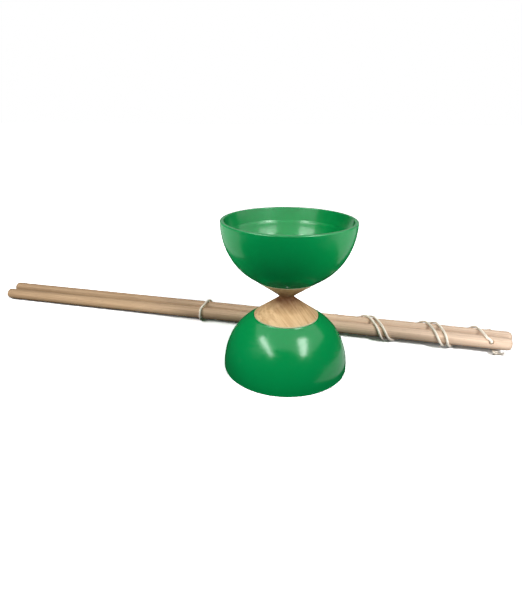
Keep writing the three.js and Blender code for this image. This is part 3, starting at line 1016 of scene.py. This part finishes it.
def zinc_steel():
    """Zinc-plated steel, mottled and finely brushed."""
    look = Look("zinc_steel", Metallic=1.0)
    mottle = look.noise(look.place, 700.0, detail=4)
    brush = look.noise(look.mapped((900, 6000, 900)), 1.0, detail=2)
    colour = look.ramp(mottle, (0.3, ZINC_DARK), (0.7, ZINC_LIGHT))
    look.set(Base_Color=colour, Roughness=look.ramp(brush, (0.3, 0.24), (0.7, 0.42)),
             Normal=look.bump(brush, strength=0.2, distance=0.04 * MM))
    return look.material


# ---- floor and lights ---------------------------------------------------------------------

AMBIENT = 0.13
AMBIENT_IN_GLOSS = 0.02
FLOOR_ALBEDO = 0.09
FLOOR_GRAIN = 1.04
# the floor's brightness to the eye, beside the set and far away, where less light falls
SEEN_NEAR = 3.0
SEEN_FAR = 9.0
NEAR_REACH = 0.5
FAR_REACH = 2.0
FLOOR_HALF = 30.0
FLOOR_DROP = 0.02 * MM
# the angles of a light that faces down or up
DOWN, UP = (0, 0, 0), (180, 0, 0)


def floor_material():
    """White paper, exposed until only the contact shadows show, but dimmer in its bounced light."""
    look = Look("floor", Roughness=0.9, Specular_IOR_Level=0.0)
    grain = look.noise(look.place, 20.0, detail=2)
    bounced = look.ramp(grain, (0.0, FLOOR_ALBEDO), (1.0, FLOOR_ALBEDO * FLOOR_GRAIN))
    distance = look.add("ShaderNodeVectorMath", {0: look.place}, operation="LENGTH").outputs["Value"]
    seen = look.remapped(distance, NEAR_REACH, FAR_REACH, SEEN_NEAR, SEEN_FAR)
    ray = look.add("ShaderNodeLightPath").outputs["Is Camera Ray"]
    look.set(Base_Color=look.mix(ray, bounced, seen))
    return look.material


def add_floor():
    """A wide floor just under the set, which doesn't show in gloss."""
    half, z = FLOOR_HALF, cad_low.z - FLOOR_DROP
    corners = [(-half, -half, z), (half, -half, z), (half, half, z), (-half, half, z)]
    floor = make_object("floor", corners, [(0, 1, 2, 3)])
    floor.data.materials.append(floor_material())
    floor.visible_glossy = False


def add_area_light(name, centre, size, angles, power, glossy, only):
    """A rectangle of light, for all pieces or only some; at zero angles it faces down."""
    data = bpy.data.lights.new(name, "AREA")
    data.shape = "RECTANGLE"
    data.size, data.size_y = size
    data.energy = power
    light = bpy.data.objects.new(name, data)
    turn = Euler([math.radians(angle) for angle in angles]).to_matrix().to_4x4()
    light.matrix_world = Matrix.Translation(centre) @ turn
    light.visible_diffuse = not glossy
    light.visible_glossy = glossy
    light.visible_camera = False
    if only:
        light.light_linking.receiver_collection = bpy.data.collections.new(name + "_only")
        for piece in only:
            light.light_linking.receiver_collection.objects.link(piece)
    bpy.context.scene.collection.objects.link(light)


def add_lamp(name, centre, size, angles, power, only=()):
    """A light that falls on surfaces and doesn't show in their gloss."""
    add_area_light(name, centre, size, angles, power, False, only)


def add_card(name, centre, size, angles, power, only=()):
    """A bright shape that only shows in gloss."""
    add_area_light(name, centre, size, angles, power, True, only)


def add_world():
    """White to the eye, soft light on surfaces, and dark in their gloss."""
    world = bpy.data.worlds.new("studio")
    bpy.context.scene.world = world
    world.use_nodes = True
    tree = world.node_tree
    background = tree.nodes["Background"]
    ray = tree.nodes.new("ShaderNodeLightPath")
    strength = AMBIENT
    for output, value in (("Is Glossy Ray", AMBIENT_IN_GLOSS), ("Is Camera Ray", 1.0)):
        chosen = tree.nodes.new("ShaderNodeMix")
        chosen.data_type = "FLOAT"
        tree.links.new(ray.outputs[output], chosen.inputs["Factor"])
        if isinstance(strength, float):
            chosen.inputs["A"].default_value = strength
        else:
            tree.links.new(strength, chosen.inputs["A"])
        chosen.inputs["B"].default_value = value
        strength = chosen.outputs["Result"]
    tree.links.new(strength, background.inputs["Strength"])
    background.inputs["Color"].default_value = (1, 1, 1, 1)


def add_room_lights():
    """Two soft boxes that light every piece, and three cards that show in every piece's gloss."""
    add_lamp("left_box", (-0.95, -0.75, 0.9), (0.7, 0.8), (56, 0, -53), 10.5)
    add_lamp("right_box", (0.95, -0.75, 1.0), (0.4, 0.4), (50, 0, 50), 12)
    add_card("left_glint", (-0.54, -0.84, 1.0), (0.27, 1.2), (0, 0, 15), 13)
    add_card("right_glint", (0.93, -0.55, 1.0), (0.34, 1.1), (0, 0, 38), 15)
    add_card("ceiling", (0.35, 0.05, 1.05), (2.7, 1.9), DOWN, 20)


def add_table_gloss(lower_cup, upper_cup):
    """The white table in the cups' gloss, since the floor itself doesn't show in it."""
    add_card("left_sheen", (-1.04, 0.44, 0.001), (1.5, 1.6), (180, 0, 20), 5, [upper_cup])
    add_card("right_sheen", (1.16, 0.51, 0.001), (1.5, 1.6), (180, 0, -22), 5, [upper_cup])
    add_card("right_floor", (0.206, 0.0, 0.001), (0.188, 0.12), UP, 0.05, [lower_cup])


def add_fill_lights(cups, others):
    """Fill light on the cups alone, then on the spool, sticks and string alone."""
    add_lamp("left_bounce", (-0.5, 0.1, 0.001), (0.6, 0.6), UP, 12, cups)
    add_lamp("right_bounce", (0.62, 0.1, 0.001), (0.6, 0.6), UP, 7, cups)
    add_lamp("back_box", (0.1, 1.2, 0.8), (0.9, 0.6), (-56, 0, 0), 6, cups)
    add_lamp("shelf", (0.07, 0.045, 0.35), (0.3, 0.02), DOWN, 0.5, others)
    add_lamp("left_paper", (-0.33, -0.115, 0.001), (0.57, 0.27), UP, 1.7, others)
    add_lamp("right_paper", (0.46, -0.115, 0.001), (0.57, 0.27), UP, 1.7, others)


def add_wall_gloss(upper_cup):
    """The room's walls and windows in the upper cup's gloss."""
    add_card("back_wall", (0.1, 1.9, 0.95), (3.6, 1.5), (-90, 0, 0), 7, [upper_cup])
    add_card("front_wall", (0.2, -1.2, 0.75), (2.6, 1.1), (90, 0, 0), 13, [upper_cup])
    add_card("right_wall", (1.5, -0.15, 0.75), (2.3, 1.1), (90, 0, 90), 12, [upper_cup])
    add_card("left_window", (-0.515, -1.01, 0.63), (0.72, 0.32), (90, 0, -30), 4.4, [upper_cup])
    add_card("right_window", (1.22, -0.8, 0.73), (1.0, 0.38), (90, 0, 56), 5.5, [upper_cup])


def add_lights(lower_cup, upper_cup, others):
    """A white room round a white table."""
    add_world()
    add_room_lights()
    add_table_gloss(lower_cup, upper_cup)
    add_fill_lights([lower_cup, upper_cup], others)
    add_wall_gloss(upper_cup)


def set_view():
    """Plain colours, without a film look."""
    bpy.context.scene.view_settings.view_transform = "Standard"


# ---- the set ------------------------------------------------------------------------------


def add_bound_string(material):
    """The string and its two knots."""
    string, route = add_string(material)
    front_end, rear_end = Vector(route[0]), Vector(route[-1])
    front_knot = add_knot("front_knot", front_end, heading=math.radians(14), seed=3, material=material)
    rear_knot = add_knot("rear_knot", rear_end, heading=math.radians(12), seed=8, material=material)
    return [string, front_knot, rear_knot]


def build():
    """The whole set with its camera, floor and lights."""
    add_camera()
    cotton_look, steel, plastic = cotton(), zinc_steel(), green_plastic()
    cord = add_bound_string(cotton_look)
    lower_cup = add_cup("lower_cup", flip=False, material=plastic)
    upper_cup = add_cup("upper_cup", flip=True, material=plastic)
    spool = add_spool(spool_wood())
    for prefix, flip in (("lower", False), ("upper", True)):
        add_washer(prefix + "_washer", steel)
        add_screw(prefix + "_screw", flip, steel)
    dowel = stick_wood()
    front_stick = add_stick("front_stick", FRONT_STICK, FRONT_HOLE, seed=5, material=dowel)
    rear_stick = add_stick("rear_stick", REAR_STICK, REAR_HOLE, seed=11, material=dowel)
    for piece in (upper_cup, spool, front_stick, rear_stick):
        piece.visible_glossy = False
    add_floor()
    add_lights(lower_cup, upper_cup, [spool, front_stick, rear_stick, *cord])
    set_view()


build()
